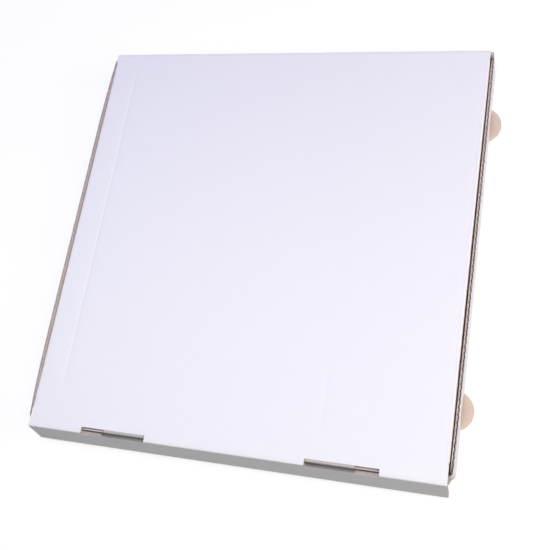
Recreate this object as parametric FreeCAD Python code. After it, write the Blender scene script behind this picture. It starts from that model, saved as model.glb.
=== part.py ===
import FreeCAD, Part
import math
import os

# A shallow pizza box, die cut from one sheet of corrugated board and folded by hand.
# The sheet is white outside and brown inside. Millimetres, +Z up, front towards -Y.
# The origin is the middle of the base's underside.

# Outside of the tray
tray_width = 400.0
tray_depth = 400.0
wall_height = 30.0

# The sheet
board = 3.0
fold_radius = 2.4
corner_radius = 5.0

# Air between layers folded against each other, and round the parts that open
layer_gap = 0.3
lid_gap = 0.3
lid_side_gap = 0.7
flap_wall_gap = 1.0
back_end_inset = 1.0
front_end_inset = 4.5

# Flaps at the ends of the side walls, which lie inside the front and the back wall
front_corner_flap = 108.0
back_corner_flap = 96.0
corner_flap_foot_gap = 0.6

# The strip of the front wall that rolls over the corner flaps and tucks down inside
roll_width = 238.0
lock_tab_width = 40.0
lock_tab_spacing = 130.0
lock_tab_clearance = 0.4

# Half-round ears, cut out of the side walls and left in the plane of the base
ear_chord = 32.6
ear_reach = 10.3
ear_spacing = 275.0

# The lid
side_flap_height = 25.0
side_flap_front_gap = 4.0
side_flap_back_gap = 5.0
side_flap_taper = 9.0
side_flap_corner = 8.0
slot_length = 65.0
slot_depth = 6.0
slot_spacing = 216.0

# The front flap, which hangs outside the front wall and springs away from it
front_flap_drop = 28.0
front_flap_lean = 15.0
front_flap_corner = 1.5

# Levels and outlines that follow from the sizes above
half_width = tray_width / 2
half_depth = tray_depth / 2
side_inner = half_width - board
lid_half_width = side_inner - lid_side_gap
lid_bottom = wall_height + lid_gap
lid_top = lid_bottom + board
flap_back = half_depth + flap_wall_gap
lid_front = flap_back + board
layer_pitch = board + layer_gap
front_inner = half_depth - 2 * layer_pitch - board
back_inner = half_depth - layer_pitch - board
front_corner_outer = half_depth - layer_pitch
roll_half = roll_width / 2
slot_inner = (slot_spacing - slot_length) / 2


def corner_arc(before, corner, after, radius):
    """The start, middle and end of an arc that rounds one corner of an outline."""
    here = FreeCAD.Vector(*corner)
    back = (FreeCAD.Vector(*before) - here).normalize()
    ahead = (FreeCAD.Vector(*after) - here).normalize()
    half_angle = back.getAngle(ahead) / 2
    reach = radius / math.tan(half_angle)
    centre = here + (back + ahead).normalize() * (radius / math.sin(half_angle))
    middle = centre + (here - centre).normalize() * radius
    return here + back * reach, middle, here + ahead * reach


def outline(points, radii):
    """A closed flat face through the points, with round corners where a radius is given."""
    count = len(points)
    spans = []
    for i, corner in enumerate(points):
        radius = radii.get(i, 0)
        if radius:
            spans.append(corner_arc(points[i - 1], corner, points[(i + 1) % count], radius))
        else:
            spans.append((FreeCAD.Vector(*corner),))
    edges = []
    for i, span in enumerate(spans):
        if len(span) == 3:
            edges.append(Part.Arc(*span).toShape())
        following = spans[(i + 1) % count][0]
        if span[-1].distanceToPoint(following) > 1e-6:
            edges.append(Part.LineSegment(span[-1], following).toShape())
    return Part.Face(Part.Wire(edges))


def along_x(section, low, high, radii=None):
    """A (y, z) section carried along X from low to high."""
    face = outline([(low, y, z) for y, z in section], radii or {})
    return face.extrude(FreeCAD.Vector(high - low, 0, 0))


def along_y(section, low, high, radii=None):
    """An (x, z) section carried along Y from low to high."""
    face = outline([(x, low, z) for x, z in section], radii or {})
    return face.extrude(FreeCAD.Vector(0, high - low, 0))


def along_z(plan, low, high, radii=None):
    """An (x, y) plan carried up from low to high."""
    face = outline([(x, y, low) for x, y in plan], radii or {})
    return face.extrude(FreeCAD.Vector(0, 0, high - low))


def block(x, y, z):
    """A plain block between pairs of limits."""
    size = (x[1] - x[0], y[1] - y[0], z[1] - z[0])
    return Part.makeBox(*size, FreeCAD.Vector(x[0], y[0], z[0]))


def mirrored(shape):
    """The same shape on the other side of the middle plane."""
    return shape.mirror(FreeCAD.Vector(0, 0, 0), FreeCAD.Vector(1, 0, 0))


def base_with_end_walls():
    """The base, the lower part of the front wall and the back wall, bent from one strip."""
    front_top = wall_height - board
    section = [
        (-half_depth, front_top), (-half_depth, 0), (half_depth, 0), (half_depth, wall_height),
        (half_depth - board, wall_height), (half_depth - board, board),
        (board - half_depth, board), (board - half_depth, front_top),
    ]
    reach = half_width - back_end_inset
    strip = along_x(section, -reach, reach, {1: fold_radius, 2: fold_radius})
    trimmed = block(
        (half_width - front_end_inset, half_width),
        (-half_depth, -front_corner_outer),
        (0, wall_height),
    )
    return strip.cut(Part.makeCompound([trimmed, mirrored(trimmed)]))


def side_walls():
    """Both side walls with the strip of base that joins them, between the corner folds."""
    section = [
        (-half_width, wall_height), (-half_width, 0), (half_width, 0), (half_width, wall_height),
        (side_inner, wall_height), (side_inner, board), (-side_inner, board), (-side_inner, wall_height),
    ]
    front_end = corner_radius - front_corner_outer
    back_end = front_corner_outer - corner_radius
    return along_y(section, front_end, back_end, {1: fold_radius, 2: fold_radius})


def side_wall_with_corner_flaps():
    """The right side wall seen from above, with both of its ends turned in as flaps."""
    outer = front_corner_outer
    plan = [
        (half_width - front_corner_flap, -outer), (half_width, -outer), (half_width, outer),
        (half_width - back_corner_flap, outer), (half_width - back_corner_flap, outer - board),
        (side_inner, outer - board), (side_inner, board - outer),
        (half_width - front_corner_flap, board - outer),
    ]
    foot = board + corner_flap_foot_gap
    wall = along_z(plan, foot, wall_height, {1: corner_radius, 2: corner_radius})
    under_roll = block(
        (0, roll_half + layer_gap),
        (-half_depth, -front_inner),
        (wall_height - layer_pitch, wall_height + board),
    )
    return wall.cut(under_roll)


def front_wall_top():
    """The raw top of the front wall at each end, where nothing rolls over it."""
    reach = half_width - front_end_inset
    low = wall_height - board
    return block((roll_half, reach), (-half_depth, board - half_depth), (low, wall_height))


def rolled_strip():
    """The strip that goes over the corner flaps and down inside, as far as the base."""
    inner_face = -front_inner
    foot = board + layer_gap
    section = [
        (-half_depth, wall_height - board), (-half_depth, wall_height), (inner_face, wall_height),
        (inner_face, foot), (inner_face - board, foot), (inner_face - board, wall_height - board),
    ]
    return along_x(section, -roll_half, roll_half, {1: fold_radius, 2: fold_radius})


def lock_tab(middle):
    """A tab at the foot of the rolled strip, which drops through the base and holds it."""
    inner_face = -front_inner
    span = (middle - lock_tab_width / 2, middle + lock_tab_width / 2)
    return block(span, (inner_face - board, inner_face), (lock_tab_clearance, board + 2 * layer_gap))


def lock_slot(middle):
    """The slot in the base that a lock tab drops through."""
    inner_face = -front_inner
    reach = lock_tab_width / 2 + lock_tab_clearance
    across = (inner_face - board - lock_tab_clearance, inner_face + lock_tab_clearance)
    return block((middle - reach, middle + reach), across, (-board, board + layer_gap / 2))


def ear_circle():
    """The radius of an ear's edge, from its chord and how far it stands out."""
    return (ear_chord ** 2 / 4 + ear_reach ** 2) / (2 * ear_reach)


def ear(middle):
    """A half-round ear in the plane of the base, outside the right wall."""
    radius = ear_circle()
    centre = FreeCAD.Vector(half_width + ear_reach - radius, middle, 0)
    disc = Part.makeCylinder(radius, board, centre)
    return disc.common(block((side_inner, half_width + radius), (middle - radius, middle + radius), (0, board)))


def ear_opening(middle):
    """The half-round hole in the right wall that the ear was cut from."""
    radius = ear_circle()
    start = FreeCAD.Vector(side_inner - layer_gap, middle, ear_reach - radius)
    disc = Part.makeCylinder(radius, board + 2 * layer_gap, start, FreeCAD.Vector(1, 0, 0))
    above = block(
        (side_inner - board, half_width + board),
        (middle - radius, middle + radius),
        (0, ear_reach + board),
    )
    return disc.common(above)


def make_tray():
    """The base with its four walls, corner flaps, rolled front edge and ears."""
    slots = [lock_slot(side * lock_tab_spacing / 2) for side in (-1, 1)]
    tabs = [lock_tab(side * lock_tab_spacing / 2) for side in (-1, 1)]
    holes = []
    ears = []
    for side in (-1, 1):
        hole = ear_opening(side * ear_spacing / 2)
        tongue = ear(side * ear_spacing / 2)
        holes += [hole, mirrored(hole)]
        ears += [tongue, mirrored(tongue)]
    right_wall = side_wall_with_corner_flaps()
    right_top = front_wall_top()
    folded = base_with_end_walls().multiFuse([
        side_walls(), right_wall, mirrored(right_wall), right_top, mirrored(right_top),
    ])
    folded = folded.cut(Part.makeCompound(slots + holes))
    return folded.multiFuse([rolled_strip()] + tabs + ears).removeSplitter()


def side_flap():
    """The right side flap of the lid, which hangs inside the tray's side wall."""
    foot = lid_top - side_flap_height
    front = side_flap_front_gap - front_inner
    back = back_inner - side_flap_back_gap
    plan = [
        (front, lid_top - fold_radius), (front + side_flap_taper, foot),
        (back - side_flap_taper, foot), (back, lid_top - fold_radius),
    ]
    rounding = {1: side_flap_corner, 2: side_flap_corner}
    return along_x(plan, lid_half_width - board, lid_half_width, rounding)


def make_lid():
    """The lid's panel with its two side flaps, and two slots cut at its front fold."""
    section = [
        (-lid_half_width, lid_bottom), (-lid_half_width, lid_top),
        (lid_half_width, lid_top), (lid_half_width, lid_bottom),
    ]
    panel = along_y(section, -lid_front, half_depth, {1: fold_radius, 2: fold_radius})
    right_flap = side_flap()
    slot = block(
        (slot_inner, slot_inner + slot_length),
        (-lid_front - board, slot_depth - lid_front),
        (lid_bottom - board, lid_top + board),
    )
    lid = panel.multiFuse([right_flap, mirrored(right_flap)])
    return lid.cut(Part.makeCompound([slot, mirrored(slot)])).removeSplitter()


def make_front_flap():
    """The lid's front flap, turned out about its fold to the angle at which it rests."""
    foot = lid_top - front_flap_drop
    top = lid_bottom - lid_gap
    plan = [
        (-lid_half_width, top), (-lid_half_width, foot),
        (lid_half_width, foot), (lid_half_width, top),
    ]
    rounding = {1: front_flap_corner, 2: front_flap_corner}
    flap = along_y(plan, -lid_front, -flap_back, rounding)
    fold = FreeCAD.Vector(0, -lid_front, lid_top)
    flap.rotate(fold, FreeCAD.Vector(1, 0, 0), -front_flap_lean)
    return flap


pieces = {
    "tray": make_tray(),
    "lid": make_lid(),
    "front_flap": make_front_flap(),
}

os.makedirs("parts", exist_ok=True)
for name, shape in pieces.items():
    if not shape.isValid() or len(shape.Solids) != 1:
        raise ValueError(name + " is not one valid solid")
    shape.Solids[0].exportStep("parts/" + name + ".step")
    box = shape.BoundBox
    print(name, round(shape.Volume), [round(v, 2) for v in (box.XMin, box.YMin, box.ZMin)],
          [round(v, 2) for v in (box.XMax, box.YMax, box.ZMax)])
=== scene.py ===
import math

import bmesh
import bpy
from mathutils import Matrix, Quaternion, Vector, geometry, noise


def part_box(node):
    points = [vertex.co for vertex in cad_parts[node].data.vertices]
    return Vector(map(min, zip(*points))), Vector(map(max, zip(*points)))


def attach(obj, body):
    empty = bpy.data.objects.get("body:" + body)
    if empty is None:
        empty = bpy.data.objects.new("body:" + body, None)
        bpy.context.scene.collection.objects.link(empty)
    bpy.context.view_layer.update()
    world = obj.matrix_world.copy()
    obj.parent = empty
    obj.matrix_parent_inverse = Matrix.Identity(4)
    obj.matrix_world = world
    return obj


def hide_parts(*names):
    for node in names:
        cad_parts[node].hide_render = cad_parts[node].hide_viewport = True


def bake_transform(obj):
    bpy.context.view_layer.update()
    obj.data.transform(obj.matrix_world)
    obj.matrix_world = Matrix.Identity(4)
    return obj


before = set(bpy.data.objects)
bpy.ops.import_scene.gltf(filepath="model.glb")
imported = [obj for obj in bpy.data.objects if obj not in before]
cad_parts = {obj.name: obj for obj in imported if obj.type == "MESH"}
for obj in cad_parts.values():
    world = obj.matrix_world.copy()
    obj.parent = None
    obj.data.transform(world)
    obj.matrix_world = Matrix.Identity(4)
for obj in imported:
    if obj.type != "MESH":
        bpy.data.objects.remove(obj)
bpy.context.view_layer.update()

MM = 0.001


# The board
# Every part of the box is one sheet of B-flute corrugated board. A white outer liner and a brown inner
# liner are glued to a wavy paper between them. The flutes run from the left to the right of the box.

board_thick = 3.0 * MM
liner_thick = 0.32 * MM
flute_paper_thick = 0.38 * MM
flute_pitch = 6.5 * MM
flute_steps = 8
crease_crush = 0.54
crease_reach = 3.2 * MM
fold_radius = 1.4 * MM
fold_steps = 6
cutting_margin = 1.0 * MM
hair = 1e-6


def fold_length(radius, turn):
    """How much of the sheet a fold takes up, along its outer face."""
    return radius * math.radians(turn)


class BentLine:
    """The outer face of a strip of board, seen from its end: straight runs joined by round folds."""

    def __init__(self, start, heading, inside, spans):
        self.inside = inside
        self.spans = []
        self.creases = []
        here = Vector(start)
        angle = math.radians(heading)
        travelled = 0.0
        for length, radius, turn in spans:
            bend = math.radians(turn) * inside
            self.spans.append((travelled, length, here.copy(), angle, radius, bend))
            if turn:
                self.creases.append((travelled, travelled + length))
                centre = here + self.normal(angle) * radius
                angle += bend
                here = centre - self.normal(angle) * radius
            else:
                here = here + self.direction(angle) * length
            travelled += length

    def direction(self, angle):
        return Vector((math.cos(angle), math.sin(angle)))

    def normal(self, angle):
        return self.direction(angle + math.pi / 2 * self.inside)

    def crease(self, along):
        """1 in a fold, falling to 0 a few millimetres away from it."""
        nearest = crease_reach
        for low, high in self.creases:
            nearest = min(nearest, max(low - along, along - high, 0.0))
        share = 1 - nearest / crease_reach
        return share * share * (3 - 2 * share)

    def place(self, along, depth, crush=crease_crush):
        """The point at a distance along the strip and a depth below its outer face."""
        begin, length, origin, angle, radius, bend = self.spans[0]
        for span in self.spans:
            if along >= span[0] - 1e-9:
                begin, length, origin, angle, radius, bend = span
        depth = depth * (1 - crush * self.crease(along))
        if bend:
            turned = angle + bend * min(1.0, (along - begin) / length)
            return origin + self.normal(angle) * radius - self.normal(turned) * (radius - depth)
        return origin + self.direction(angle) * (along - begin) + self.normal(angle) * depth


def straight(length):
    return length, 0.0, 0.0


def folded(radius, turn):
    return fold_length(radius, turn), radius, turn


def steps_over(low, high, count):
    return [low + (high - low) * i / count for i in range(count + 1)]


def inside_outline(loops, u, v):
    """Whether a point of the flat sheet is card, not a hole or waste."""
    crossings = 0
    for loop in loops:
        for (u1, v1), (u2, v2) in zip(loop, loop[1:] + loop[:1]):
            if (v1 > v) != (v2 > v) and u < u1 + (v - v1) * (u2 - u1) / (v2 - v1):
                crossings += 1
    return crossings % 2 == 1


def die_cut(loops, u_lines, v_lines):
    """The flat sheet inside the outlines, divided along the given lines, as points and faces."""
    us = [u for loop in loops for u, v in loop]
    vs = [v for loop in loops for u, v in loop]
    points = []
    edges = []
    for loop in loops:
        first = len(points)
        points += [Vector(p) for p in loop]
        edges += [(first + i, first + (i + 1) % len(loop)) for i in range(len(loop))]
    for u in u_lines:
        if min(us) + hair < u < max(us) - hair:
            edges.append((len(points), len(points) + 1))
            points += [Vector((u, min(vs) - cutting_margin)), Vector((u, max(vs) + cutting_margin))]
    for v in v_lines:
        if min(vs) + hair < v < max(vs) - hair:
            edges.append((len(points), len(points) + 1))
            points += [Vector((min(us) - cutting_margin, v)), Vector((max(us) + cutting_margin, v))]
    cut = geometry.delaunay_2d_cdt(points, edges, [], 4, 1e-7)
    corners, faces = cut[0], cut[2]
    kept = []
    for face in faces:
        middle = sum((corners[i] for i in face), Vector((0, 0))) / len(face)
        if inside_outline(loops, middle.x, middle.y):
            kept.append(face)
    return corners, kept


def flute_wave(v):
    return math.sin(2 * math.pi * v / flute_pitch)


def outer_liner(v):
    return 0.0, liner_thick


def inner_liner(v):
    return board_thick - liner_thick, board_thick


def flute_paper(v):
    swing = (board_thick - 2 * liner_thick - flute_paper_thick) / 2
    middle = board_thick / 2 + swing * flute_wave(v)
    return middle - flute_paper_thick / 2, middle + flute_paper_thick / 2


def make_board(name, loops, u_lines, v_lines, flute_u_lines, fold, crease, place_on_sheet):
    """Cuts a part's three papers from the flat sheet, folds them and joins them as one piece."""
    vs = [v for loop in loops for u, v in loop]
    step = flute_pitch / flute_steps
    first = math.floor(min(vs) / step)
    last = math.ceil(max(vs) / step)
    waves = [i * step for i in range(first, last + 1)]
    papers = [
        (outer_liner, die_cut(loops, u_lines, v_lines)),
        (flute_paper, die_cut(loops, flute_u_lines, waves)),
        (inner_liner, die_cut(loops, u_lines, v_lines)),
    ]
    verts, faces, slots, sheet, worn = [], [], [], [], []
    for index, (paper, (corners, cells)) in enumerate(papers):
        used = sorted({i for cell in cells for i in cell})
        order = {old: new for new, old in enumerate(used)}
        base = len(verts)
        count = len(used)
        for side in (0, 1):
            for i in used:
                u, v = corners[i]
                depth = paper(place_on_sheet(v))[side]
                verts.append(fold(u, v, depth))
                sheet.append((u, place_on_sheet(v), depth))
                worn.append(crease(u, v))
        borders = {}
        for cell in cells:
            ring = [order[i] for i in cell]
            faces.append([base + i for i in ring])
            faces.append([base + count + i for i in reversed(ring)])
            for a, b in zip(ring, ring[1:] + ring[:1]):
                if (b, a) in borders:
                    del borders[(b, a)]
                else:
                    borders[(a, b)] = True
        for a, b in borders:
            faces.append([base + b, base + a, base + count + a, base + count + b])
        slots += [index] * (len(faces) - len(slots))
    mesh = bpy.data.meshes.new(name)
    mesh.from_pydata(verts, [], faces)
    for index, face in enumerate(mesh.polygons):
        face.material_index = slots[index]
    place = mesh.attributes.new("sheet", "FLOAT_VECTOR", "POINT")
    place.data.foreach_set("vector", [c for point in sheet for c in point])
    wear = mesh.attributes.new("fold", "FLOAT", "POINT")
    wear.data.foreach_set("value", worn)
    tidy = bmesh.new()
    tidy.from_mesh(mesh)
    bmesh.ops.recalc_face_normals(tidy, faces=tidy.faces)
    tidy.to_mesh(mesh)
    tidy.free()
    mesh.shade_smooth()
    mesh.set_sharp_from_angle(angle=math.radians(35))
    for material in (white_liner, fluting, brown_liner):
        mesh.materials.append(material)
    piece = bpy.data.objects.new(name, mesh)
    bpy.context.scene.collection.objects.link(piece)
    return piece


def link(tree, source, target):
    tree.links.new(source, target)


def socket(group, name, kind, direction, value=None):
    made = group.interface.new_socket(name=name, in_out=direction, socket_type=kind)
    if value is not None:
        made.default_value = value
    return made


def node(tree, kind, **settings):
    made = tree.nodes.new(kind)
    for key, value in settings.items():
        setattr(made, key, value)
    return made


def calculation(tree, operation, *values, clamp=False):
    """A sum of numbers, each a socket or a plain value."""
    made = node(tree, "ShaderNodeMath", operation=operation, use_clamp=clamp)
    for place, value in enumerate(values):
        if isinstance(value, (int, float)):
            made.inputs[place].default_value = value
        else:
            link(tree, value, made.inputs[place])
    return made.outputs[0]


def blended(tree, share, first, second):
    """One colour fading into another."""
    made = node(tree, "ShaderNodeMix", data_type="RGBA")
    for place, value in ((0, share), (6, first), (7, second)):
        if isinstance(value, (int, float, tuple)):
            made.inputs[place].default_value = value
        else:
            link(tree, value, made.inputs[place])
    return made.outputs[2]


def grain(tree, where, scale, detail, stretch=(1.0, 1.0, 1.0)):
    """Soft noise over the sheet, which may be drawn out along it."""
    drawn = node(tree, "ShaderNodeVectorMath", operation="MULTIPLY")
    drawn.inputs[1].default_value = stretch
    link(tree, where, drawn.inputs[0])
    made = node(tree, "ShaderNodeTexNoise")
    made.inputs["Scale"].default_value = scale
    made.inputs["Detail"].default_value = detail
    link(tree, drawn.outputs[0], made.inputs["Vector"])
    return made.outputs["Fac"]


cloud_scale = 55.0
streak_scale = 900.0
fibre_scale = 2600.0
streak_stretch = (1.0, 0.18, 1.0)
fibre_stretch = (1.0, 0.35, 1.0)
smoothest = 0.52
streak_roughness = 0.16
fibre_relief = 0.35
streak_relief = 0.3


def make_paper_surface():
    """Clouding, fibres, the print of the flutes through a liner, and wear along the folds."""
    group = bpy.data.node_groups.new("paper surface", "ShaderNodeTree")
    socket(group, "Colour", "NodeSocketColor", "INPUT", (0.8, 0.8, 0.8, 1))
    socket(group, "Cloud Colour", "NodeSocketColor", "INPUT", (0.7, 0.7, 0.7, 1))
    socket(group, "Worn Colour", "NodeSocketColor", "INPUT", (0.5, 0.45, 0.4, 1))
    socket(group, "Clouding", "NodeSocketFloat", "INPUT", 0.3)
    socket(group, "Fibres", "NodeSocketFloat", "INPUT", 0.3)
    socket(group, "Flute Print", "NodeSocketFloat", "INPUT", 0.3)
    socket(group, "Wear", "NodeSocketFloat", "INPUT", 0.3)
    socket(group, "Colour", "NodeSocketColor", "OUTPUT")
    socket(group, "Roughness", "NodeSocketFloat", "OUTPUT")
    socket(group, "Height", "NodeSocketFloat", "OUTPUT")
    given = node(group, "NodeGroupInput")
    result = node(group, "NodeGroupOutput")
    sheet = node(group, "ShaderNodeAttribute", attribute_name="sheet").outputs["Vector"]
    folds = node(group, "ShaderNodeAttribute", attribute_name="fold").outputs["Fac"]
    clouds = grain(group, sheet, cloud_scale, 4.0)
    streaks = grain(group, sheet, streak_scale, 3.0, streak_stretch)
    fibres = grain(group, sheet, fibre_scale, 2.0, fibre_stretch)
    across = node(group, "ShaderNodeSeparateXYZ")
    link(group, sheet, across.inputs[0])
    turns = calculation(group, "MULTIPLY", across.outputs["Y"], 2 * math.pi / flute_pitch)
    wave = calculation(group, "SINE", turns)
    cloud_share = calculation(group, "MULTIPLY", clouds, given.outputs["Clouding"], clamp=True)
    colour = blended(group, cloud_share, given.outputs["Colour"], given.outputs["Cloud Colour"])
    streak_share = calculation(group, "MULTIPLY", streaks, given.outputs["Fibres"], clamp=True)
    colour = blended(group, streak_share, colour, given.outputs["Cloud Colour"])
    broken = calculation(group, "MULTIPLY", folds, calculation(group, "MULTIPLY", streaks, streaks))
    wear_share = calculation(group, "MULTIPLY", broken, given.outputs["Wear"], clamp=True)
    colour = blended(group, wear_share, colour, given.outputs["Worn Colour"])
    link(group, colour, result.inputs["Colour"])
    roughness = calculation(group, "MULTIPLY_ADD", streaks, streak_roughness, smoothest)
    link(group, roughness, result.inputs["Roughness"])
    print_height = calculation(group, "MULTIPLY", wave, given.outputs["Flute Print"])
    fibre_height = calculation(group, "MULTIPLY", fibres, fibre_relief)
    streak_height = calculation(group, "MULTIPLY", streaks, streak_relief)
    height = calculation(group, "ADD", print_height, calculation(group, "ADD", fibre_height, streak_height))
    link(group, height, result.inputs["Height"])
    return group


paper_surface = make_paper_surface()


def make_paper(name, colour, cloud, worn, clouding, fibres, flute_print, wear, bump, gloss):
    """One paper of the board: its own colours through the shared paper surface."""
    material = bpy.data.materials.new(name)
    material.use_nodes = True
    material.diffuse_color = (*colour, 1)
    tree = material.node_tree
    tree.nodes.clear()
    surface = node(tree, "ShaderNodeGroup", node_tree=paper_surface)
    surface.inputs["Colour"].default_value = (*colour, 1)
    surface.inputs["Cloud Colour"].default_value = (*cloud, 1)
    surface.inputs["Worn Colour"].default_value = (*worn, 1)
    surface.inputs["Clouding"].default_value = clouding
    surface.inputs["Fibres"].default_value = fibres
    surface.inputs["Flute Print"].default_value = flute_print
    surface.inputs["Wear"].default_value = wear
    relief = node(tree, "ShaderNodeBump")
    relief.inputs["Strength"].default_value = 0.6
    relief.inputs["Distance"].default_value = bump
    link(tree, surface.outputs["Height"], relief.inputs["Height"])
    shader = node(tree, "ShaderNodeBsdfPrincipled")
    shader.inputs["Specular IOR Level"].default_value = gloss
    link(tree, surface.outputs["Colour"], shader.inputs["Base Color"])
    link(tree, surface.outputs["Roughness"], shader.inputs["Roughness"])
    link(tree, relief.outputs["Normal"], shader.inputs["Normal"])
    output = node(tree, "ShaderNodeOutputMaterial")
    link(tree, shader.outputs["BSDF"], output.inputs["Surface"])
    return material


white_liner = make_paper(
    "white liner", (0.87, 0.865, 0.93), (0.82, 0.815, 0.89), (0.6, 0.55, 0.53),
    clouding=0.35, fibres=0.25, flute_print=0.5, wear=0.35, bump=0.04 * MM, gloss=0.3,
)
brown_liner = make_paper(
    "brown liner", (0.78, 0.64, 0.56), (0.7, 0.55, 0.47), (0.6, 0.47, 0.4),
    clouding=0.5, fibres=0.8, flute_print=0.5, wear=0.5, bump=0.06 * MM, gloss=0.2,
)
fluting = make_paper(
    "fluting paper", (0.78, 0.72, 0.7), (0.68, 0.61, 0.6), (0.55, 0.48, 0.47),
    clouding=0.5, fibres=0.8, flute_print=0.0, wear=0.0, bump=0.06 * MM, gloss=0.15,
)


# The tray
# The base, the four walls and the flaps at the wall ends are cut from the sheet and folded up. The front
# wall rolls over the corner flaps and locks through the base. Half-round ears stay flat where the side
# walls fold up, and leave a hole at the foot of each wall for steam.

tray_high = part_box("tray")[1]
lid_low, lid_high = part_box("lid")
half_width = 200.0 * MM
half_depth = tray_high.y
wall_top = tray_high.z
back_end_inset = 1.0 * MM
front_end_inset = 4.5 * MM
back_end_half = half_width - back_end_inset
front_end_half = half_width - front_end_inset
board_play = 0.3 * MM
layer_pitch = board_thick + board_play
corner_radius = 5.0 * MM
corner_outer = half_depth - layer_pitch
corner_foot = board_thick + 2 * board_play
front_corner_flap = 108.0 * MM
back_corner_flap = 96.0 * MM
roll_half = 119.0 * MM
roll_slit = 0.4 * MM
roll_span = 2 * layer_pitch + board_thick
roll_radius = 3.2 * MM
lock_tab_middle = 65.0 * MM
lock_tab_half = 20.0 * MM
lock_gap = 0.4 * MM
lock_shortening = 0.1 * MM
ear_chord = 32.6 * MM
ear_reach = tray_high.x - half_width
ear_middle = 137.5 * MM
ear_kerf = 0.3 * MM
hinge_depth = 6.0 * MM
lid_half = lid_high.x
lid_notch_half = lid_half + 0.2 * MM
left_wall_bow = 2.6 * MM
right_wall_bow = 0.5 * MM
bow_rise = 1.4
knife_pinch = 0.32
pinch_reach = 2.0 * MM
even_spacing_top = 26.0 * MM
even_spacing_end = 0.3

base_edge_u = half_width - fold_radius
base_edge_v = half_depth - fold_radius
quarter_fold = fold_length(fold_radius, 90)
side_wall_line = BentLine(
    (0, 0), 0, 1,
    [straight(base_edge_u), folded(fold_radius, 90), straight(wall_top)],
)
end_wall_line = BentLine(
    (0, 0), 0, 1,
    [straight(base_edge_v), folded(fold_radius, 90), straight(wall_top)],
)
rolled_wall_line = BentLine(
    (0, 0), 0, 1,
    [
        straight(base_edge_v), folded(fold_radius, 90), straight(wall_top - fold_radius - roll_radius),
        folded(roll_radius, 90), straight(roll_span - 2 * roll_radius), folded(roll_radius, 90),
        straight(wall_top),
    ],
)
corner_edge = corner_outer - corner_radius
corner_fold = fold_length(corner_radius, 90)
corner_line = BentLine(
    (half_width, corner_edge), 90, 1,
    [folded(corner_radius, 90), straight(half_width)],
)


def height_on_side(z):
    """Where a height on a side wall lies on the flat sheet."""
    return base_edge_u + quarter_fold + z - fold_radius


def height_on_end(z):
    """Where a height on the front or the back wall lies on the flat sheet."""
    return base_edge_v + quarter_fold + z - fold_radius


def on_ear(u, v):
    radius = (ear_chord ** 2 / 4 + ear_reach ** 2) / (2 * ear_reach)
    centre = half_width + ear_reach - radius
    return abs(u) > base_edge_u and math.hypot(abs(u) - centre, abs(v) - ear_middle) < radius - ear_kerf / 2


def wall_bow(side, v, z):
    """How far a side wall leans out, most at its rim and nothing at its ends."""
    share = max(0.0, 1 - abs(v / corner_edge) ** 6)
    return (left_wall_bow if side < 0 else right_wall_bow) * share * (z / wall_top) ** bow_rise


def side_crease(u, v):
    """The crease at the foot of a side wall, which stops at the ears."""
    if abs(abs(v) - ear_middle) < ear_chord / 2:
        return 0.0
    return side_wall_line.crease(abs(u))


def rim_pinch(across):
    """How far the cutting knife has pinched the board together at a height on a side wall."""
    above = 1 - (height_on_side(wall_top) - across) / pinch_reach
    return knife_pinch * min(1.0, max(0.0, above)) ** 2


def fold_tray(u, v, depth):
    side = -1 if u < 0 else 1
    end = -1 if v < 0 else 1
    across, along = abs(u), abs(v)
    on_corner_flap = across > height_on_side(corner_foot) - hair
    if across > base_edge_u and (along <= corner_edge + hair or on_corner_flap):
        if on_ear(u, v):
            return side * across, v, depth
        depth *= 1 - rim_pinch(across)
        out, up = side_wall_line.place(across, depth)
        if along > corner_edge:
            out, back = corner_line.place(along - corner_edge, half_width - out)
            return side * out, end * back, up
        return side * (out + wall_bow(side, v, up)), v, up
    if along > base_edge_v:
        line = end_wall_line
        if v < 0 and across < roll_half + roll_slit / 2:
            line = rolled_wall_line
        out, up = line.place(along, depth)
        return u, end * out, up
    squeeze = (1 - crease_crush * side_crease(u, v)) * (1 - crease_crush * end_wall_line.crease(along))
    return u, v, depth * squeeze


def crease_tray(u, v):
    if on_ear(u, v):
        return 0.0
    line = rolled_wall_line if v < 0 and abs(u) < roll_half else end_wall_line
    found = max(side_wall_line.crease(abs(u)), line.crease(abs(v)))
    if abs(u) > base_edge_u:
        found = max(side_wall_line.crease(abs(u)), corner_line.crease(abs(v) - corner_edge))
    return found


def tray_outline():
    """The outer edge of the tray's part of the sheet, right half first."""
    rim = height_on_side(wall_top)
    foot = height_on_side(corner_foot)
    under_roll = height_on_side(wall_top - layer_pitch)
    to_middle = corner_edge + corner_fold + half_width - corner_radius
    front_end = to_middle - (half_width - front_corner_flap)
    back_end = to_middle - (half_width - back_corner_flap)
    step = to_middle - (roll_half + board_play)
    end_top = height_on_end(wall_top)
    roll_start = height_on_end(wall_top - roll_radius)
    roll_foot = roll_start + 2 * fold_length(roll_radius, 90) + roll_span - 2 * roll_radius
    roll_foot += wall_top - roll_radius - board_thick - board_play
    tab_foot = roll_foot + board_thick - lock_shortening
    fold_start = height_on_end(wall_top + board_play + board_thick - hinge_depth)
    right = [
        (lock_tab_middle - lock_tab_half, -roll_foot), (lock_tab_middle - lock_tab_half, -tab_foot),
        (lock_tab_middle + lock_tab_half, -tab_foot), (lock_tab_middle + lock_tab_half, -roll_foot),
        (roll_half, -roll_foot), (roll_half, -roll_start), (roll_half + roll_slit, -roll_start),
        (roll_half + roll_slit, -end_top), (front_end_half, -end_top), (front_end_half, -base_edge_v),
        (base_edge_u, -corner_edge), (foot, -corner_edge), (foot, -front_end),
        (under_roll, -front_end), (under_roll, -step), (rim, -step), (rim, back_end),
        (foot, back_end), (foot, corner_edge), (base_edge_u, corner_edge), (back_end_half, base_edge_v),
        (back_end_half, end_top), (lid_notch_half, end_top), (lid_notch_half, fold_start),
    ]
    return right + [(-u, v) for u, v in reversed(right)]


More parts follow.
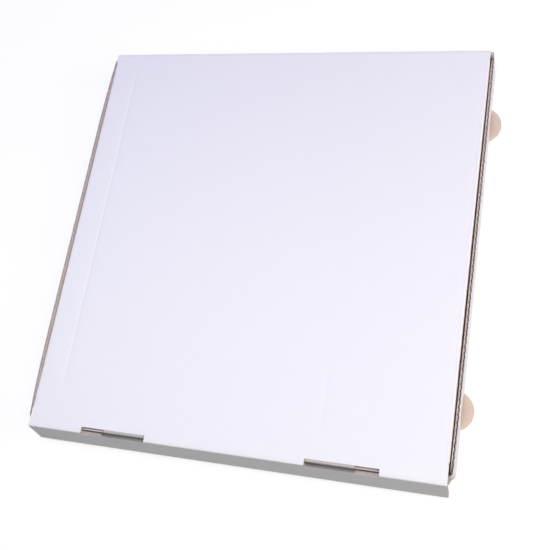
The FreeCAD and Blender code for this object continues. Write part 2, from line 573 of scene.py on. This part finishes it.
def ear_cut(side, end):
    """The curved knife line between an ear and the wall it was part of, as a thin crescent."""
    radius = (ear_chord ** 2 / 4 + ear_reach ** 2) / (2 * ear_reach)
    centre = half_width + ear_reach - radius
    loop = []
    for r, order in ((radius, 1), (radius - ear_kerf, -1)):
        sweep = math.acos((base_edge_u - centre) / r)
        turns = steps_over(-sweep * order, sweep * order, 24)
        loop += [(centre + r * math.cos(t), ear_middle + r * math.sin(t)) for t in turns]
    return [(side * u, end * v) for u, v in loop]


def lock_slot(side):
    """The slot in the base that a lock tab drops through."""
    low = half_depth - roll_span - lock_gap
    high = low + board_thick + 2 * lock_gap
    reach = lock_tab_half + lock_gap
    near, far = side * (lock_tab_middle - reach), side * (lock_tab_middle + reach)
    return [(near, -low), (far, -low), (far, -high), (near, -high)]


tray_loops = [tray_outline()]
tray_loops += [ear_cut(side, end) for side in (-1, 1) for end in (-1, 1)]
tray_loops += [lock_slot(side) for side in (-1, 1)]
side_folds = steps_over(base_edge_u, base_edge_u + quarter_fold, fold_steps)
side_folds += [base_edge_u - crease_reach, base_edge_u - crease_reach / 2]
side_folds += [base_edge_u + quarter_fold + crease_reach / 2, base_edge_u + quarter_fold + crease_reach]
side_folds += [height_on_side(wall_top) - pinch_reach, height_on_side(wall_top) - pinch_reach / 2]
end_folds = []
for low, high in rolled_wall_line.creases:
    end_folds += steps_over(low, high, fold_steps)
    end_folds += [low - crease_reach / 2, high + crease_reach / 2]
end_folds += steps_over(corner_edge, corner_edge + corner_fold, fold_steps)
end_folds += [corner_edge - crease_reach, corner_edge + corner_fold + crease_reach]
crease_u = sorted([-u for u in side_folds] + side_folds + [0.0])
even_u = steps_over(-height_on_side(even_spacing_top), height_on_side(even_spacing_top), 28)
even_v = steps_over(-even_spacing_end, even_spacing_end, 44)
tray_board = make_board(
    "tray_board", tray_loops,
    sorted(crease_u + even_u), sorted([-v for v in end_folds] + end_folds + even_v), crease_u,
    fold_tray, crease_tray, lambda v: v,
)
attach(tray_board, "tray")
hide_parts("tray")


# The lid
# The lid is the rest of the same sheet, past the fold along the top of the back wall. Its two side flaps
# tuck inside the side walls, and two slots are cut beside its front fold.

lid_top = lid_high.z
lid_front = -lid_low.y
side_flap_foot = lid_low.z
side_flap_front_gap = 4.0 * MM
side_flap_back_gap = 5.0 * MM
side_flap_front = half_depth - roll_span - side_flap_front_gap
side_flap_back = corner_outer - board_thick - side_flap_back_gap
side_flap_taper = 9.0 * MM
side_flap_corner = 8.0 * MM
slot_inner = 75.5 * MM
slot_outer = 140.5 * MM
flap_kerf = 0.1 * MM
long_line_u = -170.0 * MM
long_line_ends = (-172 * MM, 190 * MM)
short_line_u = 85.5 * MM
short_line_ends = (-190 * MM, -100 * MM)
short_line_share = 0.6
line_depth = 0.4 * MM
line_width = 1.1 * MM
line_fade = 25 * MM
line_reach = 2.4 * MM
lid_sag = 0.9 * MM
lid_ripple = 0.15 * MM
ripples_a_metre = 9
edge_bow_depth = 0.35 * MM
edge_bow_front = 0.7

lid_board_back = half_depth - hinge_depth
lid_board_front = hinge_depth - lid_front
back_fold_start = height_on_end(lid_top - hinge_depth)
back_fold_run = 2 * (hinge_depth - fold_radius) + quarter_fold
lid_edge = lid_half - fold_radius
lid_line = BentLine(
    (0, lid_top), 0, -1,
    [straight(lid_edge), folded(fold_radius, 90), straight(lid_top)],
)


def groove(u, line_u, v, low, high):
    """The dent of a pressed line that fades out at both its ends."""
    ends = min(1.0, max(0.0, min(v - low, high - v) / line_fade))
    return line_depth * ends * math.exp(-((u - line_u) / line_width) ** 2)


def lid_unevenness(u, v):
    """The slack of a large flat sheet that is held along its back and its sides."""
    middle = (lid_board_back + lid_board_front) / 2
    span = 1 - (u / lid_edge) ** 2
    length = 1 - ((v - middle) / (lid_board_back - middle)) ** 4
    spot = Vector((u * ripples_a_metre, v * ripples_a_metre, 3.1))
    ripple = (1 + noise.noise(spot)) * lid_ripple
    return (lid_sag + ripple) * span * length


def edge_bow(u, v):
    """How far the right-hand fold was bent inside its crease, most a third of the way back."""
    along = min(1.0, max(0.0, (v - lid_board_front) / (lid_board_back - lid_board_front)))
    near_edge = min(1.0, max(0.0, u / lid_edge)) ** 3
    return edge_bow_depth * math.sin(math.pi * along ** edge_bow_front) * near_edge


def fold_lid(u, v, depth):
    side = -1 if u < 0 else 1
    if abs(u) > lid_edge and -side_flap_front - flap_kerf / 2 < v < side_flap_back + flap_kerf / 2:
        out, up = lid_line.place(abs(u), depth)
        return side * out - edge_bow(u, v), v, up
    sag = lid_unevenness(u, v) if abs(u) < lid_edge else 0.0
    sag += groove(u, long_line_u, v, *long_line_ends)
    sag += groove(u, short_line_u, v, *short_line_ends) * short_line_share
    flat = 1 - crease_crush * lid_line.crease(abs(u)) if -side_flap_front < v < side_flap_back else 1.0
    return u - edge_bow(u, v), v, lid_top - sag - depth * flat


def crease_lid(u, v):
    on_flap = -side_flap_front < v < side_flap_back
    return lid_line.crease(abs(u)) if on_flap else 0.0


def rounded_corner(before, corner, after, radius, steps):
    """Points round a corner cut on the flat sheet."""
    here = Vector(corner)
    back = (Vector(before) - here).normalized()
    ahead = (Vector(after) - here).normalized()
    half_angle = back.angle(ahead) / 2
    centre = here + (back + ahead).normalized() * radius / math.sin(half_angle)
    first = (here + back * radius / math.tan(half_angle) - centre).normalized()
    last = (here + ahead * radius / math.tan(half_angle) - centre).normalized()
    return [tuple(centre + first.slerp(last, i / steps) * radius) for i in range(steps + 1)]


def lid_outline():
    """The edge of the lid's part of the sheet, with its side flaps laid out flat."""
    foot = lid_edge + quarter_fold + lid_top - fold_radius - side_flap_foot
    front, back = -side_flap_front, side_flap_back
    front_top, front_foot = (lid_edge, front), (foot, front + side_flap_taper)
    back_top, back_foot = (lid_edge, back), (foot, back - side_flap_taper)
    right = [(0.0, lid_board_front), (lid_half, lid_board_front), (lid_half, front - flap_kerf)]
    right += [(lid_edge, front - flap_kerf), front_top]
    right += rounded_corner(front_top, front_foot, back_foot, side_flap_corner, 8)
    right += rounded_corner(front_foot, back_foot, back_top, side_flap_corner, 8)
    right += [back_top, (lid_edge, back + flap_kerf), (lid_half, back + flap_kerf)]
    right += [(lid_half, lid_board_back)]
    return right + [(-u, v) for u, v in reversed(right[1:])]


lid_folds = steps_over(lid_edge, lid_edge + quarter_fold, fold_steps)
lid_folds += [lid_edge - crease_reach, lid_edge - crease_reach / 2]
lid_folds += [lid_edge + quarter_fold + crease_reach / 2, lid_edge + quarter_fold + crease_reach]
lid_crease_u = sorted([-u for u in lid_folds] + lid_folds + [0.0])
pressed_u = steps_over(long_line_u - line_reach, long_line_u + line_reach, 6)
pressed_u += steps_over(short_line_u - line_reach, short_line_u + line_reach, 6)
lid_even_u = steps_over(-lid_edge + 5 * MM, lid_edge - 5 * MM, 40)
lid_even_u = [u for u in lid_even_u if min(abs(u - pressed) for pressed in pressed_u) > 1 * MM]
lid_board = make_board(
    "lid_board", [lid_outline()],
    sorted(lid_crease_u + pressed_u + lid_even_u),
    steps_over(-lid_front, half_depth, 48), sorted(lid_crease_u + pressed_u),
    fold_lid, crease_lid, lambda v: back_fold_start + back_fold_run + lid_board_back - v,
)
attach(lid_board, "lid")
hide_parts("lid")


# The front flap
# The lid's front flap hangs outside the front wall. Its fold is springy, so it stands away at the foot.
# In the two slots its cut edge is pressed flat against the rolled strip of the front wall.

flap_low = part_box("front_flap")[0]
flap_drop = 28.0 * MM
flap_lean = math.asin((-flap_low.y - lid_front) / flap_drop)
flap_corner = 1.5 * MM
slot_play = 0.05 * MM
front_run = 2 * hinge_depth - 2 * fold_radius * math.tan((math.pi / 2 - flap_lean) / 2)
front_run += fold_length(fold_radius, 90 - math.degrees(flap_lean))
tongue_setback = 1.2 * MM
flap_tongue = front_run - hinge_depth + tongue_setback
tongue_crease_crush = 0.1
tongue_crush = 0.88
tongue_crush_depth = 6.0 * MM
tongue_crush_fade = 4.0 * MM
crush_start = 1 * MM
crush_end = 2 * MM
flap_line = BentLine(
    (0, 0), 0, -1,
    [
        straight(hinge_depth - fold_radius * math.tan((math.pi / 2 - flap_lean) / 2)),
        folded(fold_radius, 90 - math.degrees(flap_lean)), straight(flap_drop),
    ],
)


def tongue_squeeze(u, v):
    """How flat the flap's edge in a slot is pressed by the rolled strip behind it."""
    inner = min(1.0, max(0.0, (abs(u) - slot_inner) / crush_start))
    outer = min(1.0, max(0.0, (roll_half + crush_end - abs(u)) / crush_end))
    down = min(1.0, max(0.0, 1 - (v - flap_tongue - tongue_crush_depth) / tongue_crush_fade))
    return tongue_crush * inner * outer * down


def fold_front(u, v, depth):
    """v runs forward from where the front fold begins on the lid, and on down the flap."""
    beside_slot = slot_inner < abs(u) < slot_outer
    depth *= 1 - tongue_squeeze(u, v)
    out, up = flap_line.place(v, depth, tongue_crease_crush if beside_slot else crease_crush)
    return u, lid_board_front - out, lid_top + up


def front_on_sheet(v):
    return back_fold_start + back_fold_run + lid_board_back - lid_board_front + v


def crease_front(u, v):
    return flap_line.crease(v)


flap_end = front_run + flap_drop - hinge_depth
flap_right = [
    (slot_inner + slot_play, front_run), (slot_inner + slot_play, flap_tongue),
    (slot_outer - slot_play, flap_tongue), (slot_outer - slot_play, front_run), (lid_half, front_run),
]
flap_right += rounded_corner((lid_half, front_run), (lid_half, flap_end), (0, flap_end), flap_corner, 5)
flap_loop = flap_right + [(-u, v) for u, v in reversed(flap_right)]
pressed_edges = [slot_inner, slot_inner + crush_start, roll_half, roll_half + crush_end]
pressed_edges += [-u for u in pressed_edges]
flap_v = steps_over(flap_tongue, front_run, 5)
flap_v += steps_over(front_run, front_run + 8 * MM, 5)
flap_v += steps_over(front_run + 10 * MM, flap_end, 4)
front_flap_board = make_board(
    "front_flap_board", [flap_loop],
    sorted(steps_over(-lid_half, lid_half, 40) + pressed_edges), flap_v, sorted(pressed_edges + [0.0]),
    fold_front, crease_front, front_on_sheet,
)
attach(front_flap_board, "front_flap")
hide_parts("front_flap")


# The front fold
# The crease between the lid and its front flap, in three lengths between and beside the two slots. It
# starts to bend in front of the front wall, so that it clears the wall when the flap is lifted.

fold_lines = steps_over(flap_line.creases[0][0], flap_line.creases[0][1], 2 * fold_steps)
fold_lines += steps_over(0, front_run, 10)
lengths = [(-lid_half, -slot_outer), (-slot_inner, slot_inner), (slot_outer, lid_half)]
front_fold_loops = [[(a, 0.0), (b, 0.0), (b, front_run), (a, front_run)] for a, b in lengths]
front_fold = make_board(
    "front_fold", front_fold_loops,
    steps_over(-lid_half, lid_half, 40), sorted(fold_lines), [0.0],
    fold_front, crease_front, front_on_sheet,
)
flap_side = Vector(fold_front(0.0, front_run, board_thick))
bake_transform(front_fold)


# The back fold
# The crease along the top of the back wall, on which the lid opens. It is bent out of the sheet between
# the wall and the lid, as wide as the lid.

back_line = BentLine(
    (half_depth, lid_top - hinge_depth), 90, 1,
    [straight(hinge_depth - fold_radius), folded(fold_radius, 90), straight(hinge_depth)],
)


def fold_back(u, v, depth):
    """v runs up the top of the back wall, round the fold and forward on to the lid."""
    out, up = back_line.place(v, depth)
    return u, out, up


def crease_back(u, v):
    return back_line.crease(v)


back_lines = steps_over(back_line.creases[0][0], back_line.creases[0][1], 2 * fold_steps)
back_fold = make_board(
    "back_fold", [[(-lid_half, 0.0), (lid_half, 0.0), (lid_half, back_fold_run), (-lid_half, back_fold_run)]],
    steps_over(-lid_half, lid_half, 40), sorted(back_lines + steps_over(0, back_fold_run, 10)), [0.0],
    fold_back, crease_back, lambda v: back_fold_start + v,
)
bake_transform(back_fold)


# The floor and the light
# A pale floor in a light room, with soft lamps above and round the box. The strongest ones are to its
# right, and the cooler ones towards its back. Where the box covers the floor, its own glow is turned down
# as painted shade beneath the box.

floor_mesh = bpy.data.meshes.new("floor")
floor_half = 6.0
floor_drop = 0.3 * MM
under_flap = 8.5 * MM
past_flap = 4 * MM
under_ears = 12 * MM
painted_shade_glow = 0.2
floor_corners = [(-floor_half, -floor_half), (floor_half, -floor_half)]
floor_corners += [(floor_half, floor_half), (-floor_half, floor_half)]
floor_mesh.from_pydata([(x, y, -floor_drop) for x, y in floor_corners], [], [(0, 1, 2, 3)])
floor = bpy.data.objects.new("floor", floor_mesh)
bpy.context.scene.collection.objects.link(floor)

floor_paint = bpy.data.materials.new("floor")
floor_paint.use_nodes = True
tree = floor_paint.node_tree
tree.nodes.clear()
path = node(tree, "ShaderNodeLightPath")
seen = calculation(tree, "MAXIMUM", path.outputs["Is Camera Ray"], path.outputs["Is Glossy Ray"])
seen = calculation(tree, "MAXIMUM", seen, path.outputs["Is Transmission Ray"])
dull = node(tree, "ShaderNodeBsdfDiffuse")
dull.inputs["Color"].default_value = (0.3, 0.3, 0.31, 1)
pale = node(tree, "ShaderNodeBsdfDiffuse")
pale.inputs["Color"].default_value = (0.32, 0.32, 0.33, 1)
away = node(tree, "ShaderNodeVectorMath", operation="LENGTH")
spot = node(tree, "ShaderNodeNewGeometry").outputs["Position"]
link(tree, spot, away.inputs[0])
apart = node(tree, "ShaderNodeSeparateXYZ")
link(tree, spot, apart.inputs[0])
# Painted shade: under the box the floor's glow is turned down to a fifth. It fades back in just in front of
# the front wall and just inside the back wall.
sideways = calculation(tree, "ABSOLUTE", apart.outputs["X"])
sideways = calculation(tree, "GREATER_THAN", sideways, half_width - under_ears)
lengthways = calculation(tree, "ABSOLUTE", calculation(tree, "ADD", apart.outputs["Y"], under_flap))
beyond = node(tree, "ShaderNodeMapRange", interpolation_type="SMOOTHSTEP")
beyond.inputs["From Min"].default_value = half_depth - under_flap
beyond.inputs["From Max"].default_value = half_depth + past_flap
link(tree, lengthways, beyond.inputs["Value"])
unshaded_share = calculation(tree, "MAXIMUM", sideways, beyond.outputs["Result"])
unshaded_share = calculation(tree, "MAXIMUM", unshaded_share, painted_shade_glow)
whiter = node(tree, "ShaderNodeMapRange", interpolation_type="SMOOTHSTEP")
whiter.inputs["From Min"].default_value = 0.3
whiter.inputs["From Max"].default_value = 1.6
whiter.inputs["To Min"].default_value = 0.74
whiter.inputs["To Max"].default_value = 1.0
link(tree, away.outputs["Value"], whiter.inputs["Value"])
glow = node(tree, "ShaderNodeEmission")
glow.inputs["Color"].default_value = (1, 1, 1, 1)
link(tree, calculation(tree, "MULTIPLY", whiter.outputs["Result"], unshaded_share), glow.inputs["Strength"])
both = node(tree, "ShaderNodeAddShader")
link(tree, pale.outputs[0], both.inputs[0])
link(tree, glow.outputs[0], both.inputs[1])
choice = node(tree, "ShaderNodeMixShader")
link(tree, seen, choice.inputs[0])
link(tree, dull.outputs[0], choice.inputs[1])
link(tree, both.outputs[0], choice.inputs[2])
output = node(tree, "ShaderNodeOutputMaterial")
link(tree, choice.outputs[0], output.inputs["Surface"])
floor_mesh.materials.append(floor_paint)

world = bpy.data.worlds.new("room")
bpy.context.scene.world = world
world.use_nodes = True
tree = world.node_tree
tree.nodes.clear()
path = node(tree, "ShaderNodeLightPath")
seen = calculation(tree, "MAXIMUM", path.outputs["Is Camera Ray"], path.outputs["Is Glossy Ray"])
seen = calculation(tree, "MAXIMUM", seen, path.outputs["Is Transmission Ray"])
room = node(tree, "ShaderNodeBackground")
room.inputs["Color"].default_value = (0.97, 0.98, 1.0, 1)
room.inputs["Strength"].default_value = 0.08
backdrop = node(tree, "ShaderNodeBackground")
backdrop.inputs["Color"].default_value = (1, 1, 1, 1)
backdrop.inputs["Strength"].default_value = 1.0
choice = node(tree, "ShaderNodeMixShader")
link(tree, seen, choice.inputs[0])
link(tree, room.outputs[0], choice.inputs[1])
link(tree, backdrop.outputs[0], choice.inputs[2])
output = node(tree, "ShaderNodeOutputWorld")
link(tree, choice.outputs[0], output.inputs["Surface"])


def soft_light(name, place, target, size, power, colour):
    """A large square lamp aimed at a point."""
    lamp = bpy.data.lights.new(name, "AREA")
    lamp.shape = "SQUARE"
    lamp.size = size
    lamp.energy = power
    lamp.color = colour
    made = bpy.data.objects.new(name, lamp)
    made.location = place
    made.rotation_mode = "QUATERNION"
    made.rotation_quaternion = (Vector(target) - Vector(place)).to_track_quat("-Z", "Y")
    bpy.context.scene.collection.objects.link(made)


middle = (0.0, 0.0, 0.0)
soft_light("overhead", (0.1, 0.1, 1.6), middle, 1.5, 8.4, (0.52, 0.54, 1.0))
soft_light("front right", (0.42, -0.38, 0.88), middle, 0.6, 4.1, (1.0, 0.98, 0.68))
soft_light("right", (1.1, 0.1, 0.45), middle, 0.6, 7.3, (1.0, 0.92, 0.9))
soft_light("near left", (-0.3, -0.12, 0.7), middle, 0.4, 1.75, (0.98, 0.98, 0.93))
soft_light("back left", (-0.7, 1.0, 0.45), middle, 0.7, 3.4, (0.54, 0.56, 1.0))


# The camera
# It stands in front and to the right, looks steeply down and is tilted, as the photograph was taken.
# Its picture is square, and the lens is given in pixels of that picture.

photo_size = 550
focal_pixels = 838.4
camera_data = bpy.data.cameras.new("camera")
camera_data.sensor_width = 36.0
camera_data.lens = focal_pixels / photo_size * camera_data.sensor_width
camera = bpy.data.objects.new("camera", camera_data)
camera.location = (0.2600, -0.2562, 0.7388)
looking_at = Vector((0.02208, -0.0368, 0.0333))
camera_tilt = math.radians(40.385)
level = (looking_at - camera.location).to_track_quat("-Z", "Y")
camera.rotation_mode = "QUATERNION"
camera.rotation_quaternion = level @ Quaternion((0, 0, 1), -camera_tilt)
bpy.context.scene.collection.objects.link(camera)
bpy.context.scene.camera = camera
bpy.context.scene.view_settings.view_transform = "Standard"
